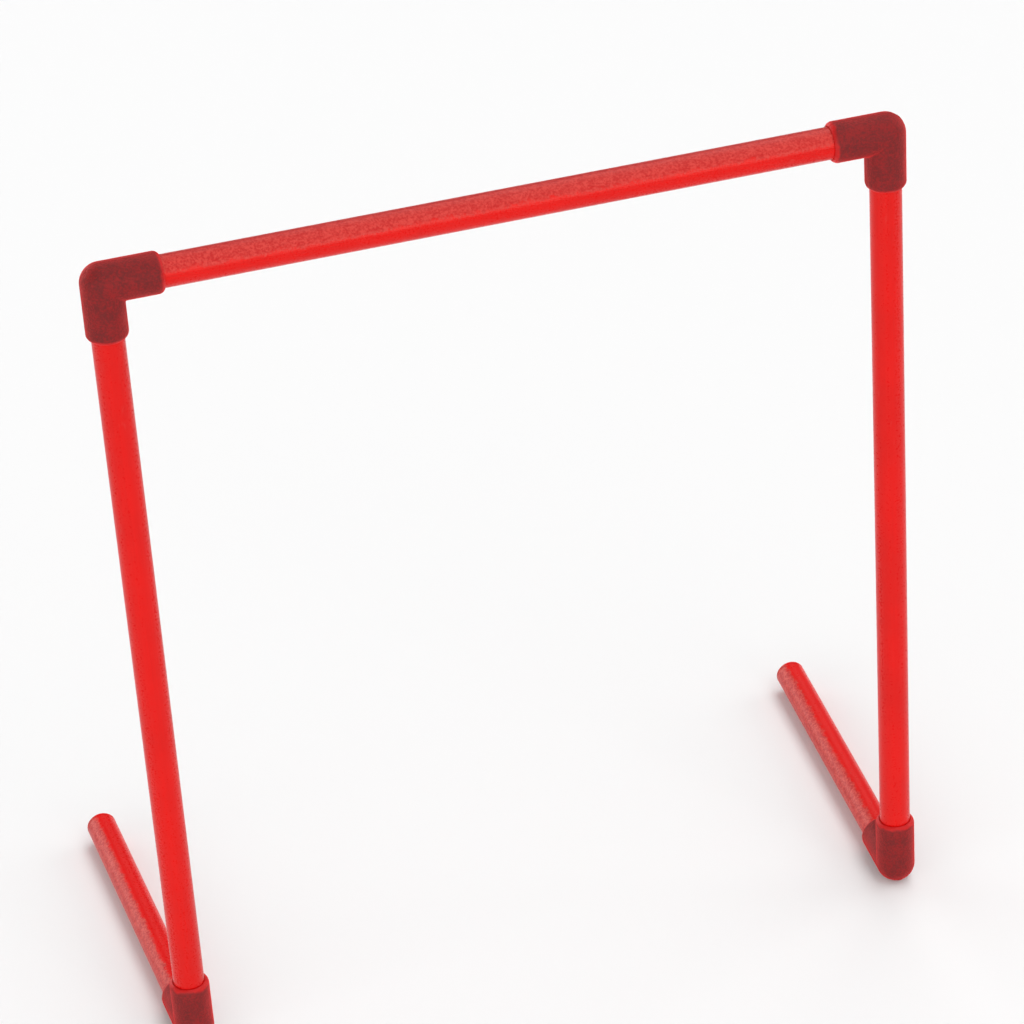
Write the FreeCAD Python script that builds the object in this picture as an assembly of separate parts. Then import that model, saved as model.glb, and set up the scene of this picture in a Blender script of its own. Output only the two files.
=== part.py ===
import FreeCAD, Part

import math
import os

# Speed hurdle in push-fit plastic pipe: a crossbar on two uprights, each with one long foot.
# Millimetres, +Z up, +Y along the feet. The origin is on the floor, midway between the uprights.

# Frame, measured between pipe axes
UPRIGHT_SPACING = 515.0
CROSSBAR_RISE = 580.0  # from the foot pipes up to the crossbar
FOOT_REACH = 254.0  # from an upright to the tip of its foot
FOOT_SPLAY = 2.7  # degrees that each foot is turned outward

# Pipe
PIPE_OD = 21.34
PIPE_WALL = 2.77
PIPE_BEVEL = 0.4

# Elbow
ELBOW_WALL = 2.93  # outside a socket
SOCKET_DEPTH = 22.0
STOP_LAND = 2.35  # from the level of the inner corner to the stop that a pipe seats on
MOUTH_TAPER = 4.0  # length of the rounded mouth
MOUTH_LIP = 0.8  # wall left at the end of the mouth
MOUTH_LEAD_IN = 0.4
SOCKET_SQUEEZE = 0.1  # how much a socket's radius narrows from its mouth to its stop
INNER_CORNER_RADIUS = 2.0

# End plug
PLUG_HEAD = 2.5
PLUG_EDGE_RADIUS = 1.0
PLUG_STEM = 14.0
PLUG_WALL = 1.6
PLUG_RIBS = 3
PLUG_RIB_HEIGHT = 0.6
PLUG_RIB_LAND = 0.8
PLUG_RIB_SLOPE = 1.6

# Radial clearances
SOCKET_CLEARANCE = 0.05
PLUG_CLEARANCE = 0.05

PIPE_R = PIPE_OD / 2
BORE_R = PIPE_R - PIPE_WALL
SOCKET_R = PIPE_R + SOCKET_CLEARANCE
ELBOW_R = SOCKET_R + ELBOW_WALL
STOP_REACH = ELBOW_R + STOP_LAND
ELBOW_REACH = STOP_REACH + SOCKET_DEPTH
FOOT_Z = ELBOW_R
CROSSBAR_Z = FOOT_Z + CROSSBAR_RISE

ORIGIN = FreeCAD.Vector(0, 0, 0)
ALONG_X = FreeCAD.Vector(1, 0, 0)
ALONG_Y = FreeCAD.Vector(0, 1, 0)
UP = FreeCAD.Vector(0, 0, 1)
CUT_OVERRUN = 1.0
SAME_POINT = 0.01


def at(radius, height):
    """Point of a turned profile: a radius from the Z axis at a height along it."""
    return FreeCAD.Vector(radius, 0, height)


def turned(edges):
    """Solid of revolution about Z from the edges of a closed profile."""
    return Part.Face(Part.Wire(edges)).revolve(ORIGIN, UP, 360)


def lines(points):
    """Straight edges through the points in order."""
    return [Part.LineSegment(a, b).toShape() for a, b in zip(points, points[1:])]


def pipe_end(in_socket):
    """Outline of a pipe's end, in radius and distance from the end, from the bore to the full pipe."""
    end_r = PIPE_R - SOCKET_SQUEEZE if in_socket else PIPE_R
    outline = [(BORE_R, 0), (end_r - PIPE_BEVEL, 0), (end_r, PIPE_BEVEL)]
    if in_socket:
        outline.append((PIPE_R, SOCKET_DEPTH))
    return outline


def pipe(length, far_end_in_socket=True):
    """Pipe up the Z axis from the origin, with bevelled ends that its sockets squeeze a little."""
    outline = [at(radius, along) for radius, along in pipe_end(True)]
    outline += [at(radius, length - along) for radius, along in reversed(pipe_end(far_end_in_socket))]
    return turned(lines(outline + outline[:1]))


def elbow_arm():
    """Outside of one arm up the Z axis: a plain barrel whose mouth rounds in to a thin lip."""
    drop = ELBOW_WALL - MOUTH_LIP
    radius = (MOUTH_TAPER**2 + drop**2) / (2 * drop)
    half_turn = math.atan2(MOUTH_TAPER, radius - drop) / 2
    shoulder = at(ELBOW_R, ELBOW_REACH - MOUTH_TAPER)
    middle = shoulder + at(radius * (math.cos(half_turn) - 1), radius * math.sin(half_turn))
    lip = at(SOCKET_R + MOUTH_LIP, ELBOW_REACH)
    barrel = lines([lip, at(0, ELBOW_REACH), ORIGIN, at(ELBOW_R, 0), shoulder])
    return turned(barrel + [Part.Arc(shoulder, middle, lip).toShape()])


def elbow_socket():
    """Space inside one arm up the Z axis: the bore to the corner, the tapered socket and its lead-in."""
    outline = [
        ORIGIN,
        at(BORE_R, 0),
        at(BORE_R, STOP_REACH),
        at(SOCKET_R - SOCKET_SQUEEZE, STOP_REACH),
        at(SOCKET_R, ELBOW_REACH - MOUTH_LEAD_IN),
        at(SOCKET_R + MOUTH_LEAD_IN, ELBOW_REACH),
        at(SOCKET_R + MOUTH_LEAD_IN, ELBOW_REACH + CUT_OVERRUN),
        at(0, ELBOW_REACH + CUT_OVERRUN),
    ]
    return turned(lines(outline + outline[:1]))


def ball_corner(radius):
    """Quarter ball that rounds the outside of a corner between a Z arm and an X arm."""
    side = FreeCAD.Vector(0, radius, 0)
    half_disc = [Part.LineSegment(-side, side).toShape(), Part.Arc(side, ALONG_X * -radius, -side).toShape()]
    return Part.Face(Part.Wire(half_disc)).revolve(ORIGIN, ALONG_Y, -90)


def both_arms(arm, corner):
    """One solid from an arm up Z, the same arm along X, and the ball between them."""
    along_x = arm.copy()
    along_x.rotate(ORIGIN, ALONG_Y, 90)
    return arm.fuse([along_x, corner]).removeSplitter().Solids[0]


def inner_corner_edges(body):
    """The two halves of the crease where the arms meet on the inside of the bend."""
    middle = Part.Vertex(ELBOW_R, 0, ELBOW_R)
    touching = [edge for edge in body.Edges if edge.distToShape(middle)[0] < SAME_POINT]
    return [edge for edge in touching if isinstance(edge.Curve, Part.Ellipse)]


def elbow():
    """Moulded elbow with its corner at the origin, one arm along X and one up Z."""
    outside = both_arms(elbow_arm(), ball_corner(ELBOW_R))
    outside = outside.makeFillet(INNER_CORNER_RADIUS, inner_corner_edges(outside))
    inside = both_arms(elbow_socket(), ball_corner(BORE_R))
    return outside.cut(inside).Solids[0]


def end_plug():
    """Push-in plug up the Z axis: a flush head above the origin and a ribbed hollow stem below it."""
    rib_r = BORE_R - PLUG_CLEARANCE
    stem_r = rib_r - PLUG_RIB_HEIGHT
    hollow_r = stem_r - PLUG_WALL
    edge_start = at(PIPE_R, PLUG_HEAD - PLUG_EDGE_RADIUS)
    edge_end = at(PIPE_R - PLUG_EDGE_RADIUS, PLUG_HEAD)
    bulge = PLUG_EDGE_RADIUS * math.sqrt(0.5)
    edge_middle = at(edge_end.x + bulge, edge_start.z + bulge)

    outline = [edge_end, at(0, PLUG_HEAD), ORIGIN]
    outline += [at(hollow_r, 0), at(hollow_r, -PLUG_STEM), at(stem_r, -PLUG_STEM)]
    pitch = PLUG_STEM / (PLUG_RIBS + 1)
    for rib in range(PLUG_RIBS, 0, -1):
        back = -pitch * rib
        outline += [
            at(stem_r, back - PLUG_RIB_LAND - PLUG_RIB_SLOPE),
            at(rib_r, back - PLUG_RIB_LAND),
            at(rib_r, back),
            at(stem_r, back),
        ]
    outline += [at(stem_r, 0), at(PIPE_R, 0), edge_start]
    return turned(lines(outline) + [Part.Arc(edge_start, edge_middle, edge_end).toShape()])


def stood(shape, base, direction):
    """Copy of a shape made up the Z axis, moved to a base point and pointed in a direction."""
    copy = shape.copy()
    copy.Placement = FreeCAD.Placement(base, FreeCAD.Rotation(UP, direction))
    return copy


def cornered(shape, corner, x_arm, z_arm):
    """Copy of an elbow with its corner at a point and its arms in the two directions."""
    copy = shape.copy()
    copy.Placement = FreeCAD.Placement(corner, FreeCAD.Rotation(x_arm, ORIGIN, z_arm, "XZY"))
    return copy


def leg(side, sign):
    """Pieces of one side, from the top elbow down to the tip of the foot."""
    top = FreeCAD.Vector(sign * UPRIGHT_SPACING / 2, 0, CROSSBAR_Z)
    bottom = FreeCAD.Vector(top.x, 0, FOOT_Z)
    splay = math.radians(FOOT_SPLAY)
    forward = FreeCAD.Vector(sign * math.sin(splay), math.cos(splay), 0)
    upright_length = CROSSBAR_RISE - 2 * STOP_REACH
    foot_end = FOOT_REACH - PLUG_HEAD
    bend = elbow()
    return {
        f"top_elbow_{side}": cornered(bend, top, ALONG_X * -sign, -UP),
        f"upright_{side}": stood(pipe(upright_length), bottom + UP * STOP_REACH, UP),
        f"bottom_elbow_{side}": cornered(bend, bottom, forward, UP),
        f"foot_tube_{side}": stood(
            pipe(foot_end - STOP_REACH, far_end_in_socket=False), bottom + forward * STOP_REACH, forward
        ),
        f"foot_plug_{side}": stood(end_plug(), bottom + forward * foot_end, forward),
    }


def hurdle():
    """Every piece of the hurdle by its name."""
    crossbar_length = UPRIGHT_SPACING - 2 * STOP_REACH
    crossbar_end = FreeCAD.Vector(-crossbar_length / 2, 0, CROSSBAR_Z)
    pieces = {"crossbar": stood(pipe(crossbar_length), crossbar_end, ALONG_X)}
    pieces.update(leg("left", -1))
    pieces.update(leg("right", 1))
    return pieces


os.makedirs("parts", exist_ok=True)
for name, piece in hurdle().items():
    piece.exportStep(f"parts/{name}.step")
    print(f"{name}: valid {piece.isValid()}, {len(piece.Solids)} solid, {piece.Volume / 1000:.2f} cm3")
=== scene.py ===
import math

import bmesh
import bpy
from mathutils import Matrix, Vector


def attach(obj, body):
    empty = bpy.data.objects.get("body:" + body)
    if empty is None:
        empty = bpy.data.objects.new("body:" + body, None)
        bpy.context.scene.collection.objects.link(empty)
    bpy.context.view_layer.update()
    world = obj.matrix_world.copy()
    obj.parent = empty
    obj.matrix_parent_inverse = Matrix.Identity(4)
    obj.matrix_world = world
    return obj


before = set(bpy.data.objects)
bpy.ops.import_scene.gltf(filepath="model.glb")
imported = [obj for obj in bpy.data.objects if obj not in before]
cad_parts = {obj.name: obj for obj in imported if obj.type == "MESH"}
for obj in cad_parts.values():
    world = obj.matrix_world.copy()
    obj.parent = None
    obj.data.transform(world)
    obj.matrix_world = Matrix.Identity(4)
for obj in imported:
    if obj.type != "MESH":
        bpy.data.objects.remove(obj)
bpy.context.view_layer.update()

ALONG_X = Vector((1.0, 0.0, 0.0))
UP = Vector((0.0, 0.0, 1.0))

# Sizes shared with the part's source, in metres
UPRIGHT_X = 0.2575
CROSSBAR_Z = 0.59365
FOOT_Z = 0.01365
FOOT_REACH = 0.254
FOOT_SPLAY = math.radians(2.7)
PIPE_R = 0.01067
ELBOW_R = 0.01365
ELBOW_REACH = 0.038
MOUTH_TAPER = 0.004
MOUTH_DROP = 0.00213
INNER_CORNER_RADIUS = 0.002
PLUG_EDGE_RADIUS = 0.001

# Mould seam on an elbow: a rounded ridge, with its section across and up in metres
SEAM_WIDTH = 0.0005
SEAM_HEIGHT = 0.00012
SEAM_ROOT = 0.00012
SEAM_SECTION = (
    (-0.5 * SEAM_WIDTH, -SEAM_ROOT),
    (-0.28 * SEAM_WIDTH, 0.7 * SEAM_HEIGHT),
    (0.0, SEAM_HEIGHT),
    (0.28 * SEAM_WIDTH, 0.7 * SEAM_HEIGHT),
    (0.5 * SEAM_WIDTH, -SEAM_ROOT),
)
SEAM_END = 0.97  # share of a mouth's rounding that the seam runs over
MOUTH_STEPS = 12
BEND_STEPS = 24

# Gate's scar on an elbow's heel, in metres: its outline is in shares of its radius and height
GATE_RADIUS = 0.0019
GATE_HEIGHT = 0.0002
GATE_OUTLINE = ((1.0, -2.0), (0.93, 0.55), (0.8, 1.0), (0.62, 0.85), (0.4, 0.35), (0.15, 0.2))
GATE_RAGGED = 0.05  # share of the radius by which the edge wanders
RAGGED_WAVES = 5
RAGGED_TWIST = 900.0  # radians per metre of radius

# Marks on the face of a foot plug: radii and heights of a raised ring and of the gate's scar, in metres
PLUG_RING = (
    (0.0060, -0.0002),
    (0.0061, 0.0001),
    (0.0064, 0.0003),
    (0.0068, 0.00036),
    (0.0072, 0.0003),
    (0.0075, 0.0001),
    (0.0076, -0.0002),
)
PLUG_GATE = (
    (0.0014, -0.0002),
    (0.0013, 0.0001),
    (0.0011, 0.00026),
    (0.0008, 0.0002),
    (0.0003, 0.00006),
)

# Meshes of all the marks
ROUND_STEPS = 48  # points in a full turn
SHARP_EDGE = math.radians(60)  # edges that turn by more are shaded sharp

# Camera, from the directions of the pipes in the photograph, in degrees and metres
VIEW_AZIMUTH = -14.606
VIEW_ELEVATION = 31.562
VIEW_ROLL = math.radians(-4.004)
VIEW_TARGET = Vector((-0.00683, 0.0, 0.36894))
VIEW_DISTANCE = 2.75676
SENSOR_MM = 36.0
LENS_MM = 147.63

# Colours, linear
PIPE_CHALK = (0.56, 0.075, 0.065)
PIPE_GLOSS_TINT = (1.0, 1.0, 0.86)
ELBOW_MAROON = (0.212, 0.0052, 0.0056)
ELBOW_DEEP = (0.112, 0.0085, 0.0085)
# Bright red of the painted highlight at an elbow's mouths
ELBOW_PAINTED_HIGHLIGHT = (0.50, 0.003, 0.003)
ELBOW_CHALK = (0.28, 0.07, 0.07)
ELBOW_SHEEN = (0.95, 0.03, 0.03)
FLOOR_WHITE = (0.84, 0.84, 0.84)
LIGHT_WHITE = (1.0, 1.0, 1.0)
OPAQUE = 1.0

# How each kind of pipe looks: its two reds, its gloss, the dark and light grain colours of its side with
# dust and painted sheen and shade, and how much that side shows
CROSSBAR_LOOK = {
    "reds": ((0.61, 0.0010, 0.0008), (0.56, 0.0010, 0.0009)),
    "gloss": 0.23,
    "dust_and_sheen_grains": ((0.43, 0.0025, 0.0040), (0.55, 0.033, 0.027)),
    "dust_and_sheen": 1.0,
}
UPRIGHT_LOOK = {**CROSSBAR_LOOK, "dust_and_sheen": 0.06}
# The feet's reds are lighter than the other pipes': painted light, standing in for more light falling on
# the feet
FOOT_LOOK_PAINTED_LIGHTER = {
    "reds": ((0.68, 0.0010, 0.0008), (0.63, 0.0010, 0.0009)),
    "gloss": 0.15,
    "dust_and_sheen_grains": ((0.42, 0.014, 0.016), (0.59, 0.072, 0.058)),
    "dust_and_sheen": 1.0,
}

# Surfaces. A noise is a scale per metre, a detail and a roughness. A relief is a depth in metres and a
# strength. Shares belong to the values named beside them. A span is the range over which a value eases.
GRAIN = (720.0, 2.0, 0.6)
NOISE_SPAN = (0.3, 0.7)  # where most of a noise lies
RISING = (0.0, 1.0)
FALLING = (1.0, 0.0)

# Side of a pipe with dust and painted sheen and shade: a paler, greyer red in place of the light
# reflected off that side and its shade
DUST_AND_SHEEN_PATCH = (160.0, 3.0, 0.6)
DUST_AND_SHEEN_SHARES = (0.25, 0.45, 0.6, 1.0)  # cloud, grain, patch, facing
DUST_AND_SHEEN_SPAN = (0.87, 1.13)
MOTTLE = (300.0, 3.0, 0.6)
MOTTLE_SHARES = (0.6, 0.4)  # grain, mottle
MOTTLE_SPAN = (0.39, 0.61)

# Pipe
PIPE_LINES = (900.0, 3.0, 0.65)
PIPE_BROAD_LINES = (230.0, 2.0, 0.5)
PIPE_LINE_STRETCH = (0.012, 1.0, 1.0)
PIPE_CLOUD = (22.0, 3.0, 0.5)
PIPE_SCUFF = (170.0, 5.0, 0.7)
PIPE_SCUFF_STRETCH = (0.3, 1.0, 1.0)
PIPE_SCUFF_SPAN = (0.60, 0.74)
PIPE_SCUFF_CLOUD_SPAN = (0.46, 0.62)
PIPE_SCUFF_CHALK = 0.3
PIPE_TONE_SHARES = (0.4, 0.6)  # lines, cloud
PIPE_TONE_SPAN = (0.38, 0.66)
PIPE_SATIN_SHARES = (0.6, 0.4)  # grain, broad lines
PIPE_SATIN = (0.24, 0.38)  # roughness
PIPE_ROUGHNESS_SHARES = (0.15, 0.05, 1.0)  # scuff, dust and painted sheen, satin
PIPE_LINE_RELIEF = (0.00005, 0.5)
PIPE_GRAIN_RELIEF = (0.0002, 0.7)

# Foot plug
PLUG_GRAIN = (1900.0, 3.0, 0.6)
PLUG_CLOUD = (60.0, 4.0, 0.6)
PLUG_RUB = (330.0, 5.0, 0.7)
PLUG_RUB_SPAN = (0.55, 0.72)
PLUG_RUB_CLOUD_SPAN = (0.42, 0.6)
PLUG_RUB_CHALK = 0.35
PLUG_RIM_SPAN = (0.2 * PLUG_EDGE_RADIUS, PLUG_EDGE_RADIUS)  # behind the face
PLUG_TONE_SHARES = (0.5, 0.5)  # plug's grain, cloud
PLUG_TONE_SPAN = (0.36, 0.64)
PLUG_MATTE = (0.40, 0.55)  # roughness
PLUG_ROUGHNESS_SHARES = (0.12, 1.0)  # rub, matte
PLUG_RELIEF = (0.00012, 0.6)

# Elbow
ELBOW_PEBBLE_SCALE = 1300.0
ELBOW_CLOUD = (70.0, 4.0, 0.6)
ELBOW_TONE_SHARES = (0.6, 0.4)  # grain, cloud
ELBOW_TONE_SPAN = (0.40, 0.60)
# Painted highlight at an elbow's mouths, where their rounding catches light; grain and cloud make its
# edge uneven
ELBOW_PAINTED_HIGHLIGHT_SHARES = (0.0024, 0.007, 1.0)  # grain, cloud, distance along an arm
ELBOW_PAINTED_HIGHLIGHT_SPAN = (ELBOW_REACH + 0.0015, ELBOW_REACH + 0.0037)
ELBOW_PAINTED_HIGHLIGHT_BLEND = 0.85
ELBOW_RUB_HEIGHTS = (0.0005, 0.0035)  # above the floor
ELBOW_RUB_CLOUD_SPAN = (0.35, 0.6)
ELBOW_RUB_CHALK = 0.6
ELBOW_SKIN = (0.56, 0.72)  # roughness
ELBOW_ROUGHNESS_SHARES = (-0.15, 0.2, 1.0)  # painted mouth highlight, rub, skin
ELBOW_GLOSS = 0.24
ELBOW_SHEEN_WEIGHT = 1.0
ELBOW_SHEEN_ROUGHNESS = 0.45
ELBOW_PEBBLE_RELIEF = (0.0002, 0.6)
ELBOW_GRAIN_RELIEF = (0.0004, 0.7)

# Floor
FLOOR_HALF_WIDTH = 60.0
FLOOR_ROUGHNESS = 0.9
FLOOR_GLOSS = 0.0

# Soft light: the room's own level, and panels with a middle, a half width and a half height in degrees
ROOM_LIGHT = 0.30
PANELS = {
    "front": {"azimuth": -26.0, "elevation": 0.0, "wide": 54.5, "high": 24.0, "strength": 3.4},
    "overhead": {"azimuth": 83.0, "elevation": 72.0, "wide": 53.0, "high": 15.0, "strength": 2.6},
    "back_left": {"azimuth": -148.0, "elevation": 0.0, "wide": 25.0, "high": 27.5, "strength": 3.3},
    "right": {"azimuth": 92.0, "elevation": 18.0, "wide": 20.0, "high": 22.0, "strength": 2.2},
}
PANEL_EDGE = 6.0  # half width of a soft edge

# Sockets of a Mix node that blends colours, by number because its other kinds have the same names
MIX_SHARE = 0
MIX_FIRST = 6
MIX_SECOND = 7
MIX_RESULT = 2


def direction(azimuth, elevation):
    """Unit vector from the object towards a viewer or a light at these angles in degrees."""
    a = math.radians(azimuth)
    e = math.radians(elevation)
    return Vector((math.sin(a) * math.cos(e), -math.cos(a) * math.cos(e), math.sin(e)))


def level_right(facing):
    """Level unit vector to the right, for a viewer in this direction who looks at the object."""
    return UP.cross(facing).normalized()


def axes(x_axis, z_axis):
    """Rotation from the frame's own axes to local ones with these X and Z axes."""
    return Matrix((x_axis, z_axis.cross(x_axis), z_axis))


def axes_at(origin, x_axis, z_axis):
    """Matrix from local coordinates, with these X and Z axes at an origin, to the frame's own."""
    return Matrix.Translation(origin) @ axes(x_axis, z_axis).transposed().to_4x4()


def add_camera():
    """Camera at the photograph's viewing angle, with the slight tilt that it was held at."""
    data = bpy.data.cameras.new("photo_camera")
    data.sensor_width = SENSOR_MM
    data.lens = LENS_MM
    camera = bpy.data.objects.new("photo_camera", data)
    back = direction(VIEW_AZIMUTH, VIEW_ELEVATION)
    level = axes_at(VIEW_TARGET + back * VIEW_DISTANCE, level_right(back), back)
    camera.matrix_world = level @ Matrix.Rotation(VIEW_ROLL, 4, "Z")
    bpy.context.scene.collection.objects.link(camera)
    bpy.context.scene.camera = camera


class Shading:
    """A node tree, and short ways to add and join its nodes."""

    def __init__(self, tree):
        self.tree = tree

    def put(self, sockets, values):
        """Links outputs to input sockets, or sets the sockets to values, by name or number."""
        for key, value in values.items():
            socket = sockets[key]
            if isinstance(value, bpy.types.NodeSocket):
                self.tree.links.new(value, socket)
            elif socket.type == "RGBA":
                socket.default_value = (*value, OPAQUE)
            else:
                socket.default_value = value

    def add(self, kind, inputs=(), **settings):
        """Outputs of a new node, with its settings made and its inputs set or linked."""
        node = self.tree.nodes.new(kind)
        for key, value in settings.items():
            setattr(node, key, value)
        self.put(node.inputs, dict(inputs))
        return node.outputs

    def math(self, operation, a, b=0.0):
        """Arithmetic on one or two values."""
        return self.add("ShaderNodeMath", {0: a, 1: b}, operation=operation)["Value"]

    def times(self, a, b):
        """Product of two values."""
        return self.math("MULTIPLY", a, b)

    def weighted(self, shares, *values):
        """Sum of values, each times its own share."""
        total = 0.0
        for share, value in zip(shares, values, strict=True):
            inputs = {0: value, 1: share, 2: total}
            total = self.add("ShaderNodeMath", inputs, operation="MULTIPLY_ADD")["Value"]
        return total

    def dot(self, vector, way):
        """How far a vector goes along a direction."""
        return self.add("ShaderNodeVectorMath", {0: vector, 1: way}, operation="DOT_PRODUCT")["Value"]

    def ramp(self, value, span, ends=RISING):
        """Value eased over a span from one end to the other, and held at the ends."""
        low, high = span
        first, last = ends
        inputs = {"Value": value, "From Min": low, "From Max": high, "To Min": first, "To Max": last}
        return self.add("ShaderNodeMapRange", inputs, interpolation_type="SMOOTHSTEP")["Result"]

    def mix(self, share, first, second):
        """Blend of two colours."""
        inputs = {MIX_SHARE: share, MIX_FIRST: first, MIX_SECOND: second}
        return self.add("ShaderNodeMix", inputs, data_type="RGBA")[MIX_RESULT]

    def noise(self, vector, kind):
        """Smooth noise from 0 to 1, with features about 1 / scale metres across."""
        scale, detail, roughness = kind
        inputs = {"Vector": vector, "Scale": scale, "Detail": detail, "Roughness": roughness}
        return self.add("ShaderNodeTexNoise", inputs)["Fac"]

    def mapped(self, vector, scale=(1.0, 1.0, 1.0), turn=(0.0, 0.0, 0.0), offset=(0.0, 0.0, 0.0)):
        """Coordinates scaled, then turned, then moved."""
        inputs = {"Vector": vector, "Scale": scale, "Rotation": turn, "Location": offset}
        return self.add("ShaderNodeMapping", inputs)["Vector"]

    def bump(self, height, relief, under=None):
        """Surface relief from a height, laid over another relief."""
        depth, strength = relief
        inputs = {"Height": height, "Strength": strength, "Distance": depth}
        if under is not None:
            inputs["Normal"] = under
        return self.add("ShaderNodeBump", inputs)["Normal"]


def new_material(name):
    """A new material, its node tree and the sockets of its surface."""
    material = bpy.data.materials.new(name)
    material.use_nodes = True
    return material, Shading(material.node_tree), material.node_tree.nodes["Principled BSDF"].inputs


def dust_and_sheen_side(shade, place, grain, cloud, through, side):
    """A pipe's side with dust and painted sheen and shade: where it is, with a ragged edge, and its
    mottle, both from 0 to 1.
    """
    # side points to the side that gets dust and painted sheen and shade
    facing = shade.math("SUBTRACT", shade.dot(place, side / PIPE_R), through.dot(side) / PIPE_R)
    edge = shade.weighted(DUST_AND_SHEEN_SHARES, cloud, grain, shade.noise(place, DUST_AND_SHEEN_PATCH), facing)
    mottle = shade.weighted(MOTTLE_SHARES, grain, shade.noise(place, MOTTLE))
    return shade.ramp(edge, DUST_AND_SHEEN_SPAN), shade.ramp(mottle, MOTTLE_SPAN)


def colour_red(shade, surface, look, tone, wear, dust_and_sheen, mottle):
    """Red plastic's colour and gloss: two reds, chalky where worn, and dust with painted sheen and shade
    on one side.
    """
    red = shade.mix(tone, *look["reds"])
    worn = shade.mix(wear, red, PIPE_CHALK)
    # Dark and light specks of a paler, greyer red on one side: dust, and painted sheen and shade
    dust_and_sheen_grains = shade.mix(mottle, *look["dust_and_sheen_grains"])
    values = {
        "Base Color": shade.mix(dust_and_sheen, worn, dust_and_sheen_grains),
        "Specular IOR Level": look["gloss"],
        "Specular Tint": PIPE_GLOSS_TINT,
    }
    shade.put(surface, values)


def pipe_material(name, along, through, side, look):
    """Extruded red plastic: fine lines along the pipe, satin grain, light scuffs, and dust with painted
    sheen and shade on one side.
    """
    material, shade, surface = new_material(name)
    place = shade.add("ShaderNodeTexCoord")["Object"]
    turned = shade.mapped(place, turn=along.rotation_difference(ALONG_X).to_euler())
    drawn = shade.mapped(turned, scale=PIPE_LINE_STRETCH)
    dragged = shade.mapped(turned, scale=PIPE_SCUFF_STRETCH)

    lines = shade.noise(drawn, PIPE_LINES)
    broad_lines = shade.noise(drawn, PIPE_BROAD_LINES)
    grain = shade.noise(place, GRAIN)
    cloud = shade.noise(place, PIPE_CLOUD)
    scuff = shade.ramp(shade.noise(dragged, PIPE_SCUFF), PIPE_SCUFF_SPAN)
    scuff = shade.times(scuff, shade.ramp(cloud, PIPE_SCUFF_CLOUD_SPAN))
    # One side gets dust and a paler, greyer red of painted sheen and shade
    dust_and_sheen, mottle = dust_and_sheen_side(shade, place, grain, cloud, through, side)
    dust_and_sheen = shade.times(dust_and_sheen, look["dust_and_sheen"])

    tone = shade.ramp(shade.weighted(PIPE_TONE_SHARES, lines, cloud), PIPE_TONE_SPAN)
    colour_red(shade, surface, look, tone, shade.times(scuff, PIPE_SCUFF_CHALK), dust_and_sheen, mottle)
    satin = shade.ramp(shade.weighted(PIPE_SATIN_SHARES, grain, broad_lines), NOISE_SPAN, PIPE_SATIN)
    values = {
        "Roughness": shade.weighted(PIPE_ROUGHNESS_SHARES, scuff, dust_and_sheen, satin),
        "Normal": shade.bump(grain, PIPE_GRAIN_RELIEF, under=shade.bump(lines, PIPE_LINE_RELIEF)),
    }
    shade.put(surface, values)
    return material


def plug_material(name, forward, tip, side, look):
    """Moulded red plastic: an even matte face, and the pipe's dust and painted sheen and shade carried
    on round the edge.
    """
    material, shade, surface = new_material(name)
    place = shade.add("ShaderNodeTexCoord")["Object"]
    grain = shade.noise(place, GRAIN)
    fine = shade.noise(place, PLUG_GRAIN)
    cloud = shade.noise(place, PLUG_CLOUD)
    rub = shade.ramp(shade.noise(place, PLUG_RUB), PLUG_RUB_SPAN)
    rub = shade.times(rub, shade.ramp(cloud, PLUG_RUB_CLOUD_SPAN))
    depth = shade.math("SUBTRACT", forward.dot(tip), shade.dot(place, forward))
    dust_and_sheen, mottle = dust_and_sheen_side(shade, place, grain, cloud, tip, side)
    dust_and_sheen = shade.times(dust_and_sheen, shade.ramp(depth, PLUG_RIM_SPAN))

    tone = shade.ramp(shade.weighted(PLUG_TONE_SHARES, fine, cloud), PLUG_TONE_SPAN)
    colour_red(shade, surface, look, tone, shade.times(rub, PLUG_RUB_CHALK), dust_and_sheen, mottle)
    matte = shade.ramp(fine, NOISE_SPAN, PLUG_MATTE)
    values = {
        "Roughness": shade.weighted(PLUG_ROUGHNESS_SHARES, rub, matte),
        "Normal": shade.bump(fine, PLUG_RELIEF),
    }
    shade.put(surface, values)
    return material


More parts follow.
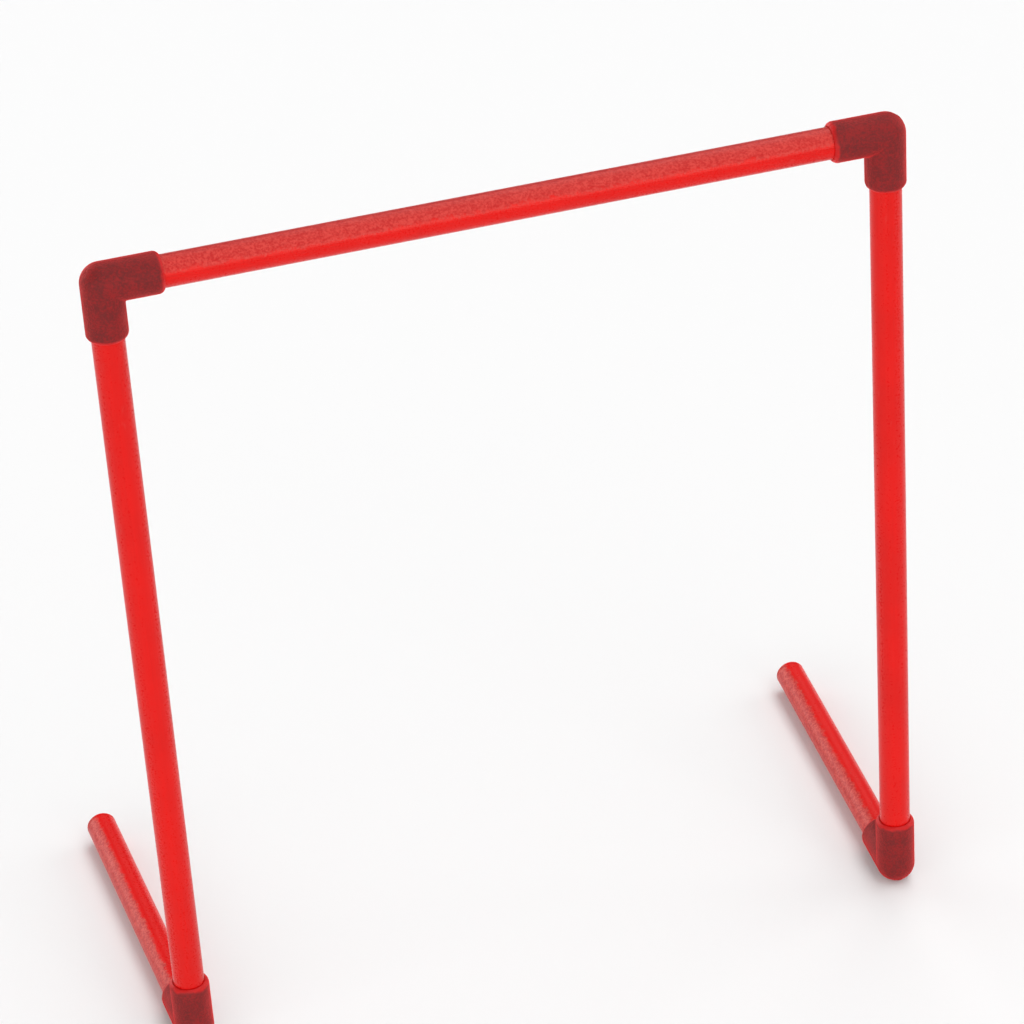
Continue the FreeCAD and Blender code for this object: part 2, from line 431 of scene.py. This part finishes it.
def elbow_material(name, corner, x_arm, z_arm):
    """Moulded maroon plastic: a grained skin, a bright red painted highlight at the mouths, and rubbed
    by the floor.
    """
    material, shade, surface = new_material(name)
    place = shade.add("ShaderNodeTexCoord")["Object"]
    height = shade.add("ShaderNodeSeparateXYZ", {"Vector": place})["Z"]
    turn = axes(x_arm, z_arm)
    local = shade.mapped(place, turn=turn.to_euler(), offset=-(turn @ corner))
    arms = shade.add("ShaderNodeSeparateXYZ", {"Vector": local})
    along = shade.math("MAXIMUM", arms["X"], arms["Z"])

    grain = shade.noise(place, GRAIN)
    cells = {"Vector": place, "Scale": ELBOW_PEBBLE_SCALE}
    pebble = shade.add("ShaderNodeTexVoronoi", cells, feature="SMOOTH_F1")["Distance"]
    cloud = shade.noise(place, ELBOW_CLOUD)
    tone = shade.weighted(ELBOW_TONE_SHARES, grain, cloud)
    # Painted highlight: bright red at the mouths, where their rounding catches the light
    painted_mouth_highlight = shade.ramp(shade.weighted(ELBOW_PAINTED_HIGHLIGHT_SHARES, grain, cloud, along), ELBOW_PAINTED_HIGHLIGHT_SPAN)
    rub = shade.ramp(height, ELBOW_RUB_HEIGHTS, FALLING)
    rub = shade.times(rub, shade.ramp(cloud, ELBOW_RUB_CLOUD_SPAN))

    colour = shade.mix(shade.ramp(tone, ELBOW_TONE_SPAN), ELBOW_MAROON, ELBOW_DEEP)
    colour = shade.mix(shade.times(painted_mouth_highlight, ELBOW_PAINTED_HIGHLIGHT_BLEND), colour, ELBOW_PAINTED_HIGHLIGHT)
    colour = shade.mix(shade.times(rub, ELBOW_RUB_CHALK), colour, ELBOW_CHALK)
    skin = shade.ramp(tone, NOISE_SPAN, ELBOW_SKIN)
    values = {
        "Base Color": colour,
        "Roughness": shade.weighted(ELBOW_ROUGHNESS_SHARES, painted_mouth_highlight, rub, skin),
        "Specular IOR Level": ELBOW_GLOSS,
        "Sheen Weight": ELBOW_SHEEN_WEIGHT,
        "Sheen Roughness": ELBOW_SHEEN_ROUGHNESS,
        "Sheen Tint": ELBOW_SHEEN,
        "Normal": shade.bump(grain, ELBOW_GRAIN_RELIEF, under=shade.bump(pebble, ELBOW_PEBBLE_RELIEF)),
    }
    shade.put(surface, values)
    return material


def seam_path(inside):
    """Mould seam in an elbow's middle plane, as points and outward directions along X and Z."""
    arc_r = (MOUTH_TAPER**2 + MOUTH_DROP**2) / (2 * MOUTH_DROP)
    full_turn = math.atan2(MOUTH_TAPER, arc_r - MOUTH_DROP)
    side = 1.0 if inside else -1.0
    arm = []
    for step in range(MOUTH_STEPS, -1, -1):
        turn = full_turn * SEAM_END * step / MOUTH_STEPS
        out = ELBOW_R - arc_r * (1 - math.cos(turn))
        along = ELBOW_REACH - MOUTH_TAPER + arc_r * math.sin(turn)
        arm.append(((side * out, along), (side * math.cos(turn), math.sin(turn))))
    radius = INNER_CORNER_RADIUS if inside else ELBOW_R
    middle = ELBOW_R + INNER_CORNER_RADIUS if inside else 0.0
    corner = []
    for step in range(BEND_STEPS + 1):
        turn = math.pi / 2 * step / BEND_STEPS
        x = math.cos(turn)
        z = math.sin(turn)
        corner.append(((middle - radius * x, middle - radius * z), (side * x, side * z)))
    other = [((z, x), (nz, nx)) for (x, z), (nx, nz) in reversed(arm)]
    return arm + corner + other


class Relief:
    """Closed shells of fine mould marks that lie on a piece."""

    def __init__(self):
        self.points = []
        self.faces = []

    def skin(self, loops, ring):
        """Shell over loops of points in order, joined up into a ring or capped at its two ends."""
        count = len(loops[0])
        starts = [len(self.points) + count * row for row in range(len(loops))]
        for loop in loops:
            self.points.extend(loop)
        if ring:
            starts.append(starts[0])
        else:
            self.faces.append(tuple(range(starts[0], starts[0] + count)))
            self.faces.append(tuple(range(starts[-1], starts[-1] + count)))
        for low, high in zip(starts, starts[1:]):
            for k in range(count):
                after = (k + 1) % count
                self.faces.append((low + k, low + after, high + after, high + k))

    def ridge(self, place, path):
        """Rounded ridge along a path in the local XZ plane."""
        loops = []
        for (x, z), (nx, nz) in path:
            loop = [Vector((x + nx * rise, across, z + nz * rise)) for across, rise in SEAM_SECTION]
            loops.append([place @ point for point in loop])
        self.skin(loops, ring=False)

    def turned(self, place, outline, ring, ragged=0.0):
        """Shell that radii and heights sweep about the local Z axis, as a ring or as a filled disc."""
        loops = []
        for radius, height in outline:
            loop = []
            for step in range(ROUND_STEPS):
                turn = 2 * math.pi * step / ROUND_STEPS
                reach = radius * (1 + ragged * math.sin(RAGGED_WAVES * turn + RAGGED_TWIST * radius))
                loop.append(place @ Vector((reach * math.cos(turn), reach * math.sin(turn), height)))
            loops.append(loop)
        self.skin(loops, ring)

    def piece(self, name, material, body):
        """The marks as a piece that rides on a body."""
        mesh = bpy.data.meshes.new(name)
        mesh.from_pydata(self.points, [], self.faces)
        shell = bmesh.new()
        shell.from_mesh(mesh)
        bmesh.ops.recalc_face_normals(shell, faces=shell.faces)
        shell.to_mesh(mesh)
        shell.free()
        mesh.shade_smooth()
        mesh.set_sharp_from_angle(angle=SHARP_EDGE)
        mesh.materials.append(material)
        marks = bpy.data.objects.new(name, mesh)
        bpy.context.scene.collection.objects.link(marks)
        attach(marks, body)


def elbow_marks(name, corner, x_arm, z_arm, material, body):
    """Ridges along an elbow's mould seam, on both sides of the bend, and the gate's scar on its heel."""
    marks = Relief()
    for inside in (False, True):
        marks.ridge(axes_at(corner, x_arm, z_arm), seam_path(inside))
    heel = -(x_arm + z_arm).normalized()
    level = (x_arm - z_arm).normalized()
    scar = []
    for share, rise in GATE_OUTLINE:
        radius = GATE_RADIUS * share
        scar.append((radius, math.sqrt(ELBOW_R**2 - radius**2) + GATE_HEIGHT * rise))
    marks.turned(axes_at(corner, level, heel), scar, ring=False, ragged=GATE_RAGGED)
    marks.piece(f"{name}_mould_marks", material, body)


def plug_marks(name, tip, forward, material, body):
    """Raised ring on the face of a foot plug, and the gate's scar in its middle."""
    marks = Relief()
    place = axes_at(tip, UP, forward)
    marks.turned(place, PLUG_RING, ring=True)
    marks.turned(place, PLUG_GATE, ring=False)
    marks.piece(f"{name}_mould_marks", material, body)


def add_floor():
    """Wide pale floor that keeps the object's shadow."""
    mesh = bpy.data.meshes.new("floor")
    reach = FLOOR_HALF_WIDTH
    corners = [(-reach, -reach, 0), (reach, -reach, 0), (reach, reach, 0), (-reach, reach, 0)]
    mesh.from_pydata(corners, [], [(0, 1, 2, 3)])
    floor = bpy.data.objects.new("floor", mesh)
    bpy.context.scene.collection.objects.link(floor)
    material, shade, surface = new_material("floor")
    values = {
        "Base Color": FLOOR_WHITE,
        "Roughness": FLOOR_ROUGHNESS,
        "Specular IOR Level": FLOOR_GLOSS,
    }
    shade.put(surface, values)
    mesh.materials.append(material)


def add_light():
    """Soft panels of light in front, overhead, behind on the left and on the right, in a dim room."""
    world = bpy.data.worlds.new("studio")
    world.use_nodes = True
    shade = Shading(world.node_tree)
    way = shade.add("ShaderNodeTexCoord")["Generated"]
    total = ROOM_LIGHT
    for panel in PANELS.values():
        facing = direction(panel["azimuth"], panel["elevation"])
        right = level_right(facing)
        across = shade.math("ARCTAN2", shade.dot(way, right), shade.dot(way, facing))
        rise = shade.math("ARCSINE", shade.dot(way, facing.cross(right)))
        lit = panel["strength"]
        for angle, reach in ((across, panel["wide"]), (rise, panel["high"])):
            off = shade.math("ABSOLUTE", shade.math("DEGREES", angle))
            inside = shade.ramp(off, (reach - PANEL_EDGE, reach + PANEL_EDGE), FALLING)
            lit = shade.times(lit, inside)
        total = shade.math("MAXIMUM", total, lit)
    shade.put(world.node_tree.nodes["Background"].inputs, {"Color": LIGHT_WHITE, "Strength": total})
    bpy.context.scene.world = world


def dress():
    """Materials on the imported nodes, and the mould marks on the elbows and plugs."""
    finish = {"crossbar": pipe_material("crossbar", ALONG_X, UP * CROSSBAR_Z, UP, CROSSBAR_LOOK)}
    for side, sign in (("left", -1.0), ("right", 1.0)):
        forward = Vector((sign * math.sin(FOOT_SPLAY), math.cos(FOOT_SPLAY), 0.0))
        leftward = UP.cross(forward)
        top = Vector((sign * UPRIGHT_X, 0.0, CROSSBAR_Z))
        bottom = Vector((sign * UPRIGHT_X, 0.0, FOOT_Z))
        tip = bottom + forward * FOOT_REACH
        elbows = {
            f"top_elbow_{side}": (top, ALONG_X * -sign, -UP, f"{side}_leg"),
            f"bottom_elbow_{side}": (bottom, forward, UP, f"{side}_foot"),
        }
        for name, (corner, x_arm, z_arm, body) in elbows.items():
            finish[name] = elbow_material(name, corner, x_arm, z_arm)
            elbow_marks(name, corner, x_arm, z_arm, finish[name], body)
        upright = f"upright_{side}"
        foot = f"foot_tube_{side}"
        plug = f"foot_plug_{side}"
        finish[upright] = pipe_material(upright, UP, bottom, -ALONG_X, UPRIGHT_LOOK)
        finish[foot] = pipe_material(foot, forward, bottom, leftward, FOOT_LOOK_PAINTED_LIGHTER)
        finish[plug] = plug_material(plug, forward, tip, leftward, FOOT_LOOK_PAINTED_LIGHTER)
        plug_marks(plug, tip, forward, finish[plug], f"{side}_foot")
    for name, material in finish.items():
        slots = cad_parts[name].data.materials
        slots.clear()
        slots.append(material)


bpy.context.scene.view_settings.view_transform = "Standard"
add_camera()
add_floor()
add_light()
dress()
